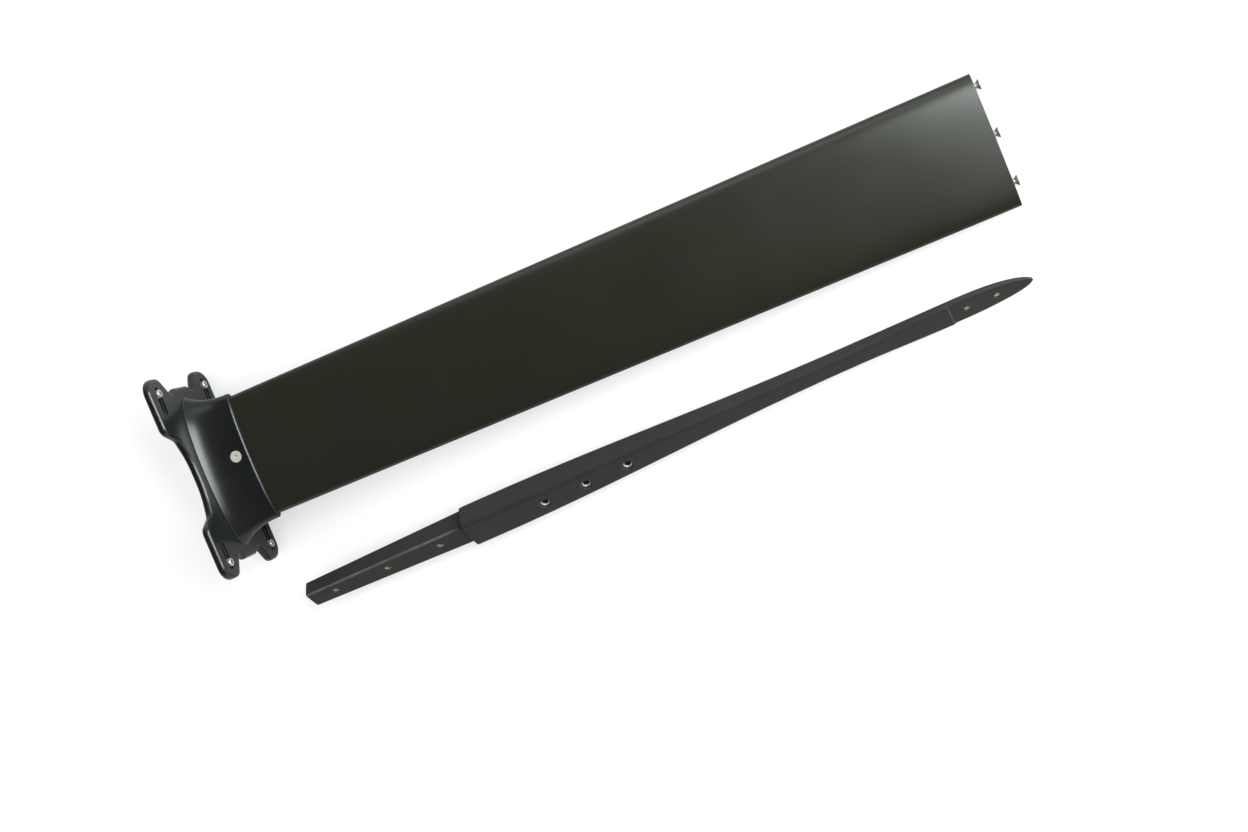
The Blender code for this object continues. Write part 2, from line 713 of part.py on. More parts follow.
def fuselage_rings():
    rings = []
    tip_width = TONGUE_TIP_WIDTH - 2 * TONGUE_TIP_EDGE
    tip_half = TONGUE_TIP_HEIGHT / 2 - TONGUE_TIP_EDGE
    rings.append(fuselage_ring(0.0, tip_width, tip_half, tip_half, TONGUE_ROUND, TONGUE_CHAMFER))
    tip_half = TONGUE_TIP_HEIGHT / 2
    first = (TONGUE_TIP_WIDTH, tip_half, tip_half, TONGUE_ROUND, TONGUE_CHAMFER)
    rings.append(fuselage_ring(TONGUE_TIP_EDGE, *first))
    root_half = TONGUE_ROOT_HEIGHT / 2
    root = (TONGUE_ROOT_WIDTH, root_half, root_half, TONGUE_ROUND, TONGUE_CHAMFER)
    rings.append(fuselage_ring(TONGUE_LENGTH, *root))
    for step in range(SHOULDER_STEPS + 1):
        angle = pi / 2 * step / SHOULDER_STEPS
        inset = SHOULDER_ROUND * (1.0 - sin(angle))
        half = BODY_HEIGHT / 2 - inset
        at = SHOULDER_AT + SHOULDER_ROUND * (1.0 - cos(angle))
        width = BODY_WIDTH - 2 * inset
        rings.append(fuselage_ring(at, width, half, half, BODY_ROUND - inset, PAD_CHAMFER))
    straight_end = SHOULDER_AT + BODY_STRAIGHT
    for step in range(BODY_STATIONS):
        share = step / BODY_STATIONS
        blend = ease(share)
        half = between(BODY_HEIGHT, WAIST_HEIGHT, blend) / 2
        width = between(BODY_WIDTH, WAIST_WIDTH, blend)
        rounding = between(BODY_ROUND, WAIST_ROUND, blend)
        chamfer = between(PAD_CHAMFER, WAIST_CHAMFER, blend)
        at = between(straight_end, WAIST_AT, share)
        rings.append(fuselage_ring(at, width, half, half, rounding, chamfer))
    for step in range(NECK_STATIONS + 1):
        share = step / NECK_STATIONS
        blend = ease(share)
        half = between(WAIST_HEIGHT, SEAT_HEIGHT, blend) / 2
        width = between(WAIST_WIDTH, SEAT_WIDTH, blend)
        rounding = between(WAIST_ROUND, SEAT_ROUND, blend)
        chamfer = between(WAIST_CHAMFER, SEAT_CHAMFER, blend)
        at = between(WAIST_AT, SEAT_AT, share)
        rings.append(fuselage_ring(at, width, half, half, rounding, chamfer))
    seat_half = SEAT_HEIGHT / 2
    for step in range(SEAT_STATIONS + 1):
        share = sin(pi / 2 * step / SEAT_STATIONS)
        width = max(SEAT_WIDTH * (1.0 - share ** SEAT_POWER) ** SEAT_NOSE, TIP_WIDTH)
        below = between(seat_half, TIP_HEIGHT - seat_half + SEAT_STEP, share ** SEAT_POWER)
        at = SEAT_AT + SEAT_STEP + (SEAT_LENGTH - SEAT_STEP) * share
        above = seat_half - SEAT_STEP
        rings.append(fuselage_ring(at, width, above, below, SEAT_ROUND, SEAT_CHAMFER))
    return rings


def wing_hole_places():
    return [WING_HOLE_FIRST + WING_HOLE_PITCH * step for step in range(WING_HOLE_COUNT)]


def mast_hole_places():
    return [MAST_HOLE_MIDDLE + SCREW_PITCH * step for step in (-1, 0, 1)]


def tail_hole_places():
    return [TAIL_HOLE_FIRST + TAIL_HOLE_PITCH * step for step in range(TAIL_HOLE_COUNT)]


def body_top_at(place):
    """Height of the body's hole face above the axis."""
    straight_end = SHOULDER_AT + BODY_STRAIGHT
    share = (place - straight_end) / (WAIST_AT - straight_end)
    return between(BODY_HEIGHT, WAIST_HEIGHT, ease(max(share, 0.0))) / 2


def tongue_half_at(place):
    share = (place - TONGUE_TIP_EDGE) / (TONGUE_LENGTH - TONGUE_TIP_EDGE)
    return between(TONGUE_TIP_HEIGHT, TONGUE_ROOT_HEIGHT, share) / 2


def seat_bottom_at(place):
    share = (place - SEAT_AT - SEAT_STEP) / (SEAT_LENGTH - SEAT_STEP)
    half = SEAT_HEIGHT / 2
    return between(half, TIP_HEIGHT - half + SEAT_STEP, share ** SEAT_POWER)


def bore_beam(beam, frame, name, place, radius):
    hole = cylinder(name, radius, -BODY_HEIGHT, BODY_HEIGHT)
    cutter = add_cutter(name, hole, frame)
    cutter.location = (place, 0.0, 0.0)
    cut(beam, cutter)


def build_insert(frame, name, place, hole_radius, low, high):
    outer = hole_radius - SLIDE_GAP
    inner = outer - FUSELAGE_INSERT_WALL
    profile = [(inner, high), (outer, high), (outer, low), (inner, low)]
    insert = turned(name, profile, frame, BRIGHT_STEEL, closed=True)
    insert.location = (place, 0.0, 0.0)
    return insert


def build_fuselage(frame):
    mesh = lofted("fuselage_beam", fuselage_rings())
    beam = add_part("fuselage_beam", mesh, frame, GUNMETAL)
    pieces = [beam]
    for number, place in enumerate(wing_hole_places(), start=1):
        bore_beam(beam, frame, f"wing_hole_{number}", place, WING_HOLE_RADIUS)
        reach = tongue_half_at(place) - FUSELAGE_INSERT_SINK
        name = f"wing_insert_{number}"
        pieces.append(build_insert(frame, name, place, WING_HOLE_RADIUS, -reach, reach))
    for number, place in enumerate(mast_hole_places(), start=1):
        bore_beam(beam, frame, f"mast_hole_{number}", place, MAST_HOLE_RADIUS)
        top = body_top_at(place)
        depth = MAST_SINK_RADIUS - MAST_HOLE_RADIUS
        wide = MAST_SINK_RADIUS + CUT_OVER
        name = f"mast_sink_{number}"
        sink = cylinder(name, MAST_HOLE_RADIUS, top - depth, top + CUT_OVER, top_radius=wide)
        cutter = add_cutter(name, sink, frame)
        cutter.location = (place, 0.0, 0.0)
        cut(beam, cutter)
    for number, place in enumerate(tail_hole_places(), start=1):
        bore_beam(beam, frame, f"tail_hole_{number}", place, TAIL_HOLE_RADIUS)
        high = SEAT_HEIGHT / 2 - SEAT_STEP - FUSELAGE_INSERT_SINK
        low = -seat_bottom_at(place) + FUSELAGE_INSERT_SINK
        name = f"tail_insert_{number}"
        pieces.append(build_insert(frame, name, place, TAIL_HOLE_RADIUS, low, high))
    close_slivers(beam)
    return pieces


def lie_pitch():
    """Slope at which the body's chamfer and the tail seat's edge both touch the floor."""
    across = sin(FUSELAGE_ROLL)
    upright = cos(FUSELAGE_ROLL)
    body_drop = (BODY_WIDTH / 2 - PAD_CHAMFER) * across + BODY_HEIGHT / 2 * upright
    seat_drop = (SEAT_WIDTH / 2 - SEAT_CHAMFER) * across + SEAT_HEIGHT / 2 * upright
    span = SEAT_AT - SHOULDER_AT - BODY_STRAIGHT
    return atan((body_drop - seat_drop) / span)


# Placing

def bounds(pieces):
    bpy.context.view_layer.update()
    graph = bpy.context.evaluated_depsgraph_get()
    places = []
    for piece in pieces:
        ready = piece.evaluated_get(graph)
        mesh = ready.to_mesh()
        places += [piece.matrix_world @ vertex.co for vertex in mesh.vertices]
        ready.to_mesh_clear()
    low = Vector([min(p[axis] for p in places) for axis in range(3)])
    high = Vector([max(p[axis] for p in places) for axis in range(3)])
    return low, high


def stand_on_floor(frame, pieces):
    low, _ = bounds(pieces)
    frame.location.z -= low.z


def centre(frames, pieces):
    low, high = bounds(pieces)
    for frame in frames:
        frame.location.x -= (low.x + high.x) / 2
        frame.location.y -= (low.y + high.y) / 2


clear_scene()
PARTS = new_collection("hydrofoil_mast")
CUTTERS = new_collection("cutters")
BLACK_ALLOY = new_material("black_anodised_alloy", (0.030, 0.030, 0.022), 0.38, 0.6)
BLACK_CAST = new_material("black_painted_casting", (0.022, 0.023, 0.024), 0.35, 0.2)
GUNMETAL = new_material("gunmetal_anodised_alloy", (0.075, 0.082, 0.080), 0.40, 0.7)
STEEL = new_material("stainless_steel", (0.55, 0.54, 0.52), 0.30, 1.0)
BRIGHT_STEEL = new_material("bright_stainless_steel", (0.78, 0.74, 0.66), 0.25, 1.0)

mast_frame = new_empty("mast_frame")
mast_frame.rotation_euler = Euler((0.0, MAST_TILT, 0.0))
mast_pieces = [build_plate(mast_frame), build_head(mast_frame), build_mast(mast_frame)]
mast_pieces += build_plate_screws(mast_frame)
mast_pieces += build_clamp(mast_frame)
mast_pieces += build_track_bolts(mast_frame)
mast_pieces += build_foot(mast_frame)
stand_on_floor(mast_frame, mast_pieces)

fuselage_frame = new_empty("fuselage_frame")
fuselage_frame.location = (FUSELAGE_OFFSET_X, FUSELAGE_OFFSET_Y, 0.0)
fuselage_frame.rotation_euler = Euler((FUSELAGE_ROLL, lie_pitch(), FUSELAGE_YAW))
fuselage_pieces = build_fuselage(fuselage_frame)
stand_on_floor(fuselage_frame, fuselage_pieces)

centre((mast_frame, fuselage_frame), mast_pieces + fuselage_pieces)
bpy.context.view_layer.update()
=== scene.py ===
"""Looks of the hydrofoil mast and its fuselage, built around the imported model. Lengths are in metres."""

import json
from math import cos, pi, radians, sin

import bmesh
import bpy
from mathutils import Euler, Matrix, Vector


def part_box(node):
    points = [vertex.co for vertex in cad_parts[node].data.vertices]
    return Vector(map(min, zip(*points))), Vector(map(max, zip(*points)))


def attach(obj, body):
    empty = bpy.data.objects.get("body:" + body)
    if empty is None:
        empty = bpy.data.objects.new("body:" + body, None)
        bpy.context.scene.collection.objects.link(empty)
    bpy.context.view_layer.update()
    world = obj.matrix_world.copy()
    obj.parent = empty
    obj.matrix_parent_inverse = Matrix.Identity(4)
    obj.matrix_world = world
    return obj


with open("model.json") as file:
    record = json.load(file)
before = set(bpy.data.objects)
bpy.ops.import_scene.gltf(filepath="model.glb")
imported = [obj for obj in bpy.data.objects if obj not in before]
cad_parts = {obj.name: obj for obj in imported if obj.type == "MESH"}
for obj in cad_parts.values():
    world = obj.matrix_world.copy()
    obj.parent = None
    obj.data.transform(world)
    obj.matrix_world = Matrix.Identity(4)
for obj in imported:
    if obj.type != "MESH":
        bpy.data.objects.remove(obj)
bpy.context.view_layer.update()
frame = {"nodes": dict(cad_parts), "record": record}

MM = 0.001

# Camera, placed as in the photograph
CAMERA_PLACE = (0.39284, -0.02405, 1.35038)
CAMERA_TURN = (radians(-8.0586), radians(14.4640), radians(-23.3153))
CAMERA_LENS = 45.0
CAMERA_SENSOR = 36.0

# Stage
FLOOR_RADIUS = 7.0
WALL_HEIGHT = 3.4
COVE_RADIUS = 1.2
COVE_STEPS = 8
STAGE_SIDES = 96
STAGE_COLOUR = (0.82, 0.82, 0.82, 1.0)
STAGE_GLOW = 0.82
STAGE_SHADE = (0.30, 0.30, 0.30, 1.0)

# Painted shadow: the floor's glow darkens close to the object, as the camera sees it and as shiny surfaces
# mirror it
FLOOR_SAMPLES = 4
PAINTED_SHADOW_REACH = 0.16
PAINTED_SHADOW_SPAN = (0.15, 0.70)
PAINTED_SHADOW_GLOW = 0.45
MIRRORED_PAINTED_SHADOW_REACH = 0.40
MIRRORED_PAINTED_SHADOW_SPAN = (0.45, 1.0)
MIRRORED_PAINTED_SHADOW_GLOW = 0.05

# Light
SKY_COLOUR = (1.0, 1.0, 1.0, 1.0)
SKY_STRENGTH = 0.16
KEY_PLACE = (0.93, 0.22, 1.55)
KEY_AIM = (0.2, 0.0, 0.05)
KEY_SIZE = (1.6, 0.34)
KEY_POWER = 30.0
KEY_TINT = (0.93, 1.0, 0.98)
FILL_PLACE = (0.1, 1.9, 1.6)
FILL_AIM = (0.0, -0.05, 0.0)
FILL_SIZE = (1.6, 0.8)
FILL_POWER = 6.0
FILL_TINT = (0.90, 0.98, 1.0)
SIDE_PLACE = (2.25, 0.4, 0.62)
SIDE_AIM = (-0.3, 0.0, 0.05)
SIDE_SIZE = (1.2, 1.1)
SIDE_POWER = 95.0
SIDE_TINT = (0.90, 0.97, 1.0)

# Axes of the two lying pieces
MAST_TILT = radians(3.7892)
MAST_AXIS = Vector((cos(MAST_TILT), 0.0, -sin(MAST_TILT)))
MAST_UP = Vector((sin(MAST_TILT), 0.0, cos(MAST_TILT)))
FUSELAGE_TURN = (radians(45.0), radians(1.032), radians(2.05))

# Holes in the fuselage for the mast's screws, cut through the coating
MAST_HOLE_PITCH = 42.5 * MM
MAST_HOLE_BARE = (3.02 * MM, 4.1 * MM)

# Painted highlight along the ridge of the fuselage's tongue, and how the ridge runs along the piece's own
# axes
RIDGE_RUN = (173.0 * MM, 2.8 * MM, 2.35 * MM)
RIDGE_BAND = (0.001 * MM, 1.3 * MM)
RIDGE_TIP = 3.0 * MM
RIDGE_FADE = 6.0 * MM

# Colours of the finishes
ALLOY_DEEP = (0.0106, 0.0109, 0.0056)
ALLOY_PALE = (0.0132, 0.0135, 0.0072)
ALLOY_WORN = (0.16, 0.16, 0.15)
CASTING_DEEP = (0.0050, 0.0053, 0.0056)
CASTING_PALE = (0.0086, 0.0091, 0.0096)
CASTING_WORN = (0.17, 0.175, 0.18)
BAR_DEEP = (0.0262, 0.0269, 0.0233)
BAR_PALE = (0.0328, 0.0336, 0.0295)
BAR_WORN = (0.24, 0.245, 0.24)
# painted highlight along the tongue's ridge
BAR_RIDGE_HIGHLIGHT = (0.15, 0.152, 0.142)
BAR_BARE = (0.62, 0.61, 0.58)
PLAIN_STEEL = (0.44, 0.41, 0.385)
# painted shade in the plain steel's sockets
PLAIN_RECESS_SHADE = (0.12, 0.118, 0.108)
BRIGHT_STEEL = (0.74, 0.70, 0.59)
# painted shade in the bright steel's sockets
BRIGHT_RECESS_SHADE = (0.38, 0.36, 0.29)
STEEL_DULL_SHARE = 0.86
STEEL_SMOOTHER = 0.05
STEEL_ROUGHER = 0.08

# How wear, painted shade in recesses, painted highlights and other bands are found on a surface
EDGE_SAMPLES = 6
EDGE_SPAN = (0.80, 0.985)
HOLLOW_SAMPLES = 8
HOLLOW_SPAN = (0.25, 0.75)
BAND_INNER_SOFTNESS = 0.99
BAND_OUTER_SOFTNESS = 0.94

# Sockets of a colour mix, whose names are shared with its other kinds
MIX_SHARE = 0
MIX_FIRST = 6
MIX_SECOND = 7
MIX_RESULT = 2

# Smooth shading of the faceted nodes
WELD_DISTANCE = 0.001 * MM
SMOOTH_ANGLE = radians(40.0)

# Threads on the screws
THREAD_HEIGHT = 0.17 * MM
THREAD_SINK = 0.04 * MM
THREAD_STEPS = 18
THREAD_FADE_STEPS = 6
THREAD_FADE_LEAST = 0.1
THREAD_WIDTH_SHARE = 0.42
THREAD_END_ROOM = 0.7 * MM
FOOT_SCREW_RADIUS = 2.5 * MM
FOOT_SCREW_HEAD = 2.8 * MM
FOOT_SCREW_PITCH = 0.8 * MM
TRACK_BOLT_RADIUS = 2.4 * MM
TRACK_BOLT_HEAD = 4.2 * MM
TRACK_BOLT_PITCH = 0.8 * MM
CLAMP_BOLT_RADIUS = 2.4 * MM
CLAMP_BOLT_HEAD = 1.5 * MM
CLAMP_BOLT_PITCH = 0.8 * MM


def floor_glow_with_painted_shadow(tree, reach, span, low):
    """The floor's glow with a painted shadow, from low close to the object up to its full value."""
    near = tree.nodes.new("ShaderNodeAmbientOcclusion")
    near.samples = FLOOR_SAMPLES
    near.inputs["Distance"].default_value = reach
    fade = tree.nodes.new("ShaderNodeMapRange")
    fade.inputs["From Min"].default_value = span[0]
    fade.inputs["From Max"].default_value = span[1]
    fade.inputs["To Min"].default_value = low
    fade.inputs["To Max"].default_value = STAGE_GLOW
    tree.links.new(near.outputs["AO"], fade.inputs["Value"])
    return fade.outputs["Result"]


def stage_material():
    """White to the camera and to mirrors, with a painted shadow close to the object, and pale to other
    light; the real shadow stays.
    """
    made = bpy.data.materials.new("studio_white")
    made.use_nodes = True
    tree = made.node_tree
    tree.nodes.clear()
    output = tree.nodes.new("ShaderNodeOutputMaterial")
    path = tree.nodes.new("ShaderNodeLightPath")
    seen = tree.nodes.new("ShaderNodeMath")
    seen.operation = "MAXIMUM"
    tree.links.new(path.outputs["Is Camera Ray"], seen.inputs[0])
    tree.links.new(path.outputs["Is Glossy Ray"], seen.inputs[1])
    seen_all = tree.nodes.new("ShaderNodeMath")
    seen_all.operation = "MAXIMUM"
    tree.links.new(seen.outputs["Value"], seen_all.inputs[0])
    tree.links.new(path.outputs["Is Transmission Ray"], seen_all.inputs[1])
    plain = tree.nodes.new("ShaderNodeBsdfDiffuse")
    plain.inputs["Color"].default_value = STAGE_COLOUR
    glow = tree.nodes.new("ShaderNodeEmission")
    # painted shadow on the floor's glow near the object, darker still in what shiny surfaces mirror
    level = tree.nodes.new("ShaderNodeMix")
    tree.links.new(path.outputs["Is Glossy Ray"], level.inputs["Factor"])
    tree.links.new(floor_glow_with_painted_shadow(tree, PAINTED_SHADOW_REACH, PAINTED_SHADOW_SPAN, PAINTED_SHADOW_GLOW), level.inputs["A"])
    tree.links.new(floor_glow_with_painted_shadow(tree, MIRRORED_PAINTED_SHADOW_REACH, MIRRORED_PAINTED_SHADOW_SPAN, MIRRORED_PAINTED_SHADOW_GLOW), level.inputs["B"])
    tree.links.new(level.outputs["Result"], glow.inputs["Strength"])
    shade = tree.nodes.new("ShaderNodeBsdfDiffuse")
    shade.inputs["Color"].default_value = STAGE_SHADE
    bright = tree.nodes.new("ShaderNodeAddShader")
    tree.links.new(glow.outputs["Emission"], bright.inputs[0])
    tree.links.new(shade.outputs["BSDF"], bright.inputs[1])
    mix = tree.nodes.new("ShaderNodeMixShader")
    tree.links.new(seen_all.outputs["Value"], mix.inputs["Fac"])
    tree.links.new(plain.outputs["BSDF"], mix.inputs[1])
    tree.links.new(bright.outputs["Shader"], mix.inputs[2])
    tree.links.new(mix.outputs["Shader"], output.inputs["Surface"])
    return made


def build_stage():
    """A round floor that curves up into a wall."""
    profile = [(FLOOR_RADIUS - COVE_RADIUS, 0.0)]
    for step in range(1, COVE_STEPS + 1):
        angle = pi / 2 * step / COVE_STEPS
        out = FLOOR_RADIUS - COVE_RADIUS + COVE_RADIUS * sin(angle)
        profile.append((out, COVE_RADIUS - COVE_RADIUS * cos(angle)))
    profile.append((FLOOR_RADIUS, WALL_HEIGHT))
    work = bmesh.new()
    rows = []
    for out, rise in profile:
        row = []
        for side in range(STAGE_SIDES):
            angle = 2 * pi * side / STAGE_SIDES
            row.append(work.verts.new((out * cos(angle), out * sin(angle), rise)))
        rows.append(row)
    work.faces.new(rows[0])
    for low, high in zip(rows, rows[1:]):
        for side in range(STAGE_SIDES):
            after = (side + 1) % STAGE_SIDES
            work.faces.new((low[side], low[after], high[after], high[side]))
    bmesh.ops.recalc_face_normals(work, faces=work.faces)
    mesh = bpy.data.meshes.new("studio")
    work.to_mesh(mesh)
    work.free()
    mesh.materials.append(stage_material())
    mesh.shade_smooth()
    stage = bpy.data.objects.new("studio", mesh)
    bpy.context.scene.collection.objects.link(stage)


def build_world():
    """An even, dim white sky."""
    world = bpy.data.worlds.new("studio_sky")
    world.use_nodes = True
    sky = world.node_tree.nodes["Background"]
    sky.inputs["Color"].default_value = SKY_COLOUR
    sky.inputs["Strength"].default_value = SKY_STRENGTH
    bpy.context.scene.world = world


def add_lamp(name, place, aim, size, power, tint):
    """A rectangular lamp that faces its aim."""
    lamp = bpy.data.lights.new(name, "AREA")
    lamp.color = tint
    lamp.shape = "RECTANGLE"
    lamp.size = size[0]
    lamp.size_y = size[1]
    lamp.energy = power
    holder = bpy.data.objects.new(name, lamp)
    holder.location = place
    towards = Vector(aim) - Vector(place)
    holder.rotation_euler = towards.to_track_quat("-Z", "Y").to_euler()
    bpy.context.scene.collection.objects.link(holder)


def build_camera():
    """A camera at the photograph's viewing angle."""
    lens = bpy.data.cameras.new("photo_camera")
    lens.lens = CAMERA_LENS
    lens.sensor_width = CAMERA_SENSOR
    lens.sensor_fit = "HORIZONTAL"
    camera = bpy.data.objects.new("photo_camera", lens)
    camera.location = CAMERA_PLACE
    camera.rotation_euler = CAMERA_TURN
    bpy.context.scene.collection.objects.link(camera)
    bpy.context.scene.camera = camera


class Finish:
    """A node material whose patterns follow the piece along its own axes."""

    def __init__(self, name, turn=(0.0, 0.0, 0.0)):
        self.material = bpy.data.materials.new(name)
        self.material.use_nodes = True
        self.tree = self.material.node_tree
        self.shader = self.tree.nodes["Principled BSDF"]
        self.turn = turn

    def add(self, kind, **values):
        """A new node, with values for its inputs."""
        made = self.tree.nodes.new(kind)
        for key, value in values.items():
            made.inputs[key].default_value = value
        return made

    def join(self, source, target):
        self.tree.links.new(source, target)

    def place(self, scale=(1.0, 1.0, 1.0)):
        """Coordinates along the piece's own axes, stretched by scale."""
        spot = self.add("ShaderNodeTexCoord")
        turned = self.add("ShaderNodeMapping", Rotation=self.turn)
        turned.vector_type = "TEXTURE"
        self.join(spot.outputs["Object"], turned.inputs["Vector"])
        scaled = self.add("ShaderNodeMapping", Scale=scale)
        self.join(turned.outputs["Vector"], scaled.inputs["Vector"])
        return scaled.outputs["Vector"]

    def lengthwise(self):
        """The distance along the piece's own first axis."""
        split = self.add("ShaderNodeSeparateXYZ")
        self.join(self.place(), split.inputs["Vector"])
        return split.outputs["X"]

    def noise(self, scale, detail=3.0, stretch=(1.0, 1.0, 1.0)):
        """A noise with scale cells to a metre, stretched along the piece's own axes."""
        made = self.add("ShaderNodeTexNoise", Scale=scale, Detail=detail)
        self.join(self.place(stretch), made.inputs["Vector"])
        return made.outputs["Fac"]

    def ramp(self, source, low, high, start=0.3, end=0.7):
        """From low to high as source goes from start to end; the given ends suit a noise."""
        made = self.add("ShaderNodeMapRange")
        made.inputs["From Min"].default_value = start
        made.inputs["From Max"].default_value = end
        made.inputs["To Min"].default_value = low
        made.inputs["To Max"].default_value = high
        self.join(source, made.inputs["Value"])
        return made.outputs["Result"]

    def mix(self, share, first, second):
        """From the first colour to the second by share; a colour is a tuple or a node output."""
        made = self.add("ShaderNodeMix")
        made.data_type = "RGBA"
        for number, colour in ((MIX_FIRST, first), (MIX_SECOND, second)):
            socket = made.inputs[number]
            if isinstance(colour, tuple):
                socket.default_value = (*colour, 1.0)
            else:
                self.join(colour, socket)
        self.join(share, made.inputs[MIX_SHARE])
        return made.outputs[MIX_RESULT]

    def product(self, first, second):
        made = self.add("ShaderNodeMath")
        made.operation = "MULTIPLY"
        self.join(first, made.inputs[0])
        self.join(second, made.inputs[1])
        return made.outputs["Value"]

    def bump(self, height, depth, strength, under=None):
        """A normal that follows height, on top of the normal under it."""
        made = self.add("ShaderNodeBump", Strength=strength, Distance=depth)
        self.join(height, made.inputs["Height"])
        if under is not None:
            self.join(under, made.inputs["Normal"])
        return made.outputs["Normal"]

    def edges(self, radius):
        """1 along sharp edges of the piece and 0 on its faces."""
        soft = self.add("ShaderNodeBevel", Radius=radius)
        soft.samples = EDGE_SAMPLES
        hard = self.add("ShaderNodeNewGeometry")
        dot = self.add("ShaderNodeVectorMath")
        dot.operation = "DOT_PRODUCT"
        self.join(soft.outputs["Normal"], dot.inputs[0])
        self.join(hard.outputs["Normal"], dot.inputs[1])
        return self.ramp(dot.outputs["Value"], 1.0, 0.0, *EDGE_SPAN)

    def hollows(self, reach):
        """1 deep in a recess and 0 in the open."""
        shade = self.add("ShaderNodeAmbientOcclusion", Distance=reach)
        shade.samples = HOLLOW_SAMPLES
        return self.ramp(shade.outputs["AO"], 1.0, 0.0, *HOLLOW_SPAN)

    def around_lines(self, places, along, band):
        """1 within a band around the lines through places, along a unit vector, and 0 elsewhere."""
        spot = self.add("ShaderNodeTexCoord")
        nearest = None
        for place in places:
            offset = self.add("ShaderNodeVectorMath")
            offset.operation = "SUBTRACT"
            offset.inputs[1].default_value = place
            self.join(spot.outputs["Object"], offset.inputs[0])
            across = self.add("ShaderNodeVectorMath")
            across.operation = "CROSS_PRODUCT"
            across.inputs[1].default_value = along
            self.join(offset.outputs["Vector"], across.inputs[0])
            reach = self.add("ShaderNodeVectorMath")
            reach.operation = "LENGTH"
            self.join(across.outputs["Vector"], reach.inputs[0])
            if nearest is None:
                nearest = reach.outputs["Value"]
            else:
                least = self.add("ShaderNodeMath")
                least.operation = "MINIMUM"
                self.join(nearest, least.inputs[0])
                self.join(reach.outputs["Value"], least.inputs[1])
                nearest = least.outputs["Value"]
        outside = self.ramp(nearest, 0.0, 1.0, BAND_INNER_SOFTNESS * band[0], band[0])
        inside = self.ramp(nearest, 1.0, 0.0, BAND_OUTER_SOFTNESS * band[1], band[1])
        return self.product(outside, inside)

    def set(self, **values):
        """Values for the shader's sockets, by name with _ for a space: a number or a node output."""
        for key, value in values.items():
            socket = self.shader.inputs[key.replace("_", " ")]
            if isinstance(value, bpy.types.NodeSocket):
                self.join(value, socket)
            else:
                socket.default_value = value


def black_alloy():
    """Satin black anodised extrusion, with faint die lines along its length."""
    look = Finish("black_anodised_extrusion", turn=(0.0, MAST_TILT, 0.0))
    cloud = look.ramp(look.noise(scale=7.0), low=0.0, high=1.0)
    body = look.mix(cloud, ALLOY_DEEP, ALLOY_PALE)
    patches = look.ramp(look.noise(scale=60.0), low=0.1, high=0.55)
    worn = look.product(look.edges(radius=0.7 * MM), patches)
    lines = look.noise(scale=1.0, detail=4.0, stretch=(1.5, 700.0, 700.0))
    grain = look.noise(scale=2400.0, detail=2.0)
    lined = look.bump(lines, depth=0.01 * MM, strength=0.12)
    look.set(
        Base_Color=look.mix(worn, body, ALLOY_WORN),
        Roughness=look.ramp(look.noise(scale=18.0), low=0.25, high=0.28),
        Metallic=0.0,
        Specular_IOR_Level=0.6,
        Normal=look.bump(grain, depth=0.005 * MM, strength=0.10, under=lined),
    )
    return look.material


def black_casting():
    """Black coated casting with a fine orange peel."""
    look = Finish("black_coated_casting", turn=(0.0, MAST_TILT, 0.0))
    cloud = look.ramp(look.noise(scale=16.0), low=0.0, high=1.0)
    body = look.mix(cloud, CASTING_DEEP, CASTING_PALE)
    patches = look.ramp(look.noise(scale=90.0), low=0.3, high=0.6)
    worn = look.product(look.edges(radius=0.6 * MM), patches)
    peel = look.noise(scale=700.0, detail=2.0)
    look.set(
        Base_Color=look.mix(worn, body, CASTING_WORN),
        Roughness=look.ramp(look.noise(scale=30.0), low=0.20, high=0.25),
        Metallic=0.0,
        Specular_IOR_Level=0.45,
        Normal=look.bump(peel, depth=0.01 * MM, strength=0.15),
    )
    return look.material


def mast_holes():
    """The places of the three holes for the mast's screws, and the direction of their axes."""
    pad = next(mount for mount in frame["record"]["mounts"] if mount["name"] == "mast_pad")
    along = Euler(FUSELAGE_TURN).to_matrix().col[0]
    places = [Vector(pad["pos_m"]) + along * MAST_HOLE_PITCH * step for step in (-1, 0, 1)]
    return places, pad["axis"]


def tongue_ridge():
    """A place on the ridge at the tongue's tip, the ridge's direction, and its end along the piece."""
    turn = Euler(FUSELAGE_TURN).to_matrix()
    places = [vertex.co for vertex in frame["nodes"]["fuselage_beam"].data.vertices]
    end = min(place.dot(turn.col[0]) for place in places)
    tip = [place for place in places if place.dot(turn.col[0]) < end + RIDGE_TIP]
    top = max(tip, key=lambda place: place.z)
    return top, (turn @ Vector(RIDGE_RUN)).normalized(), end + RIDGE_RUN[0]


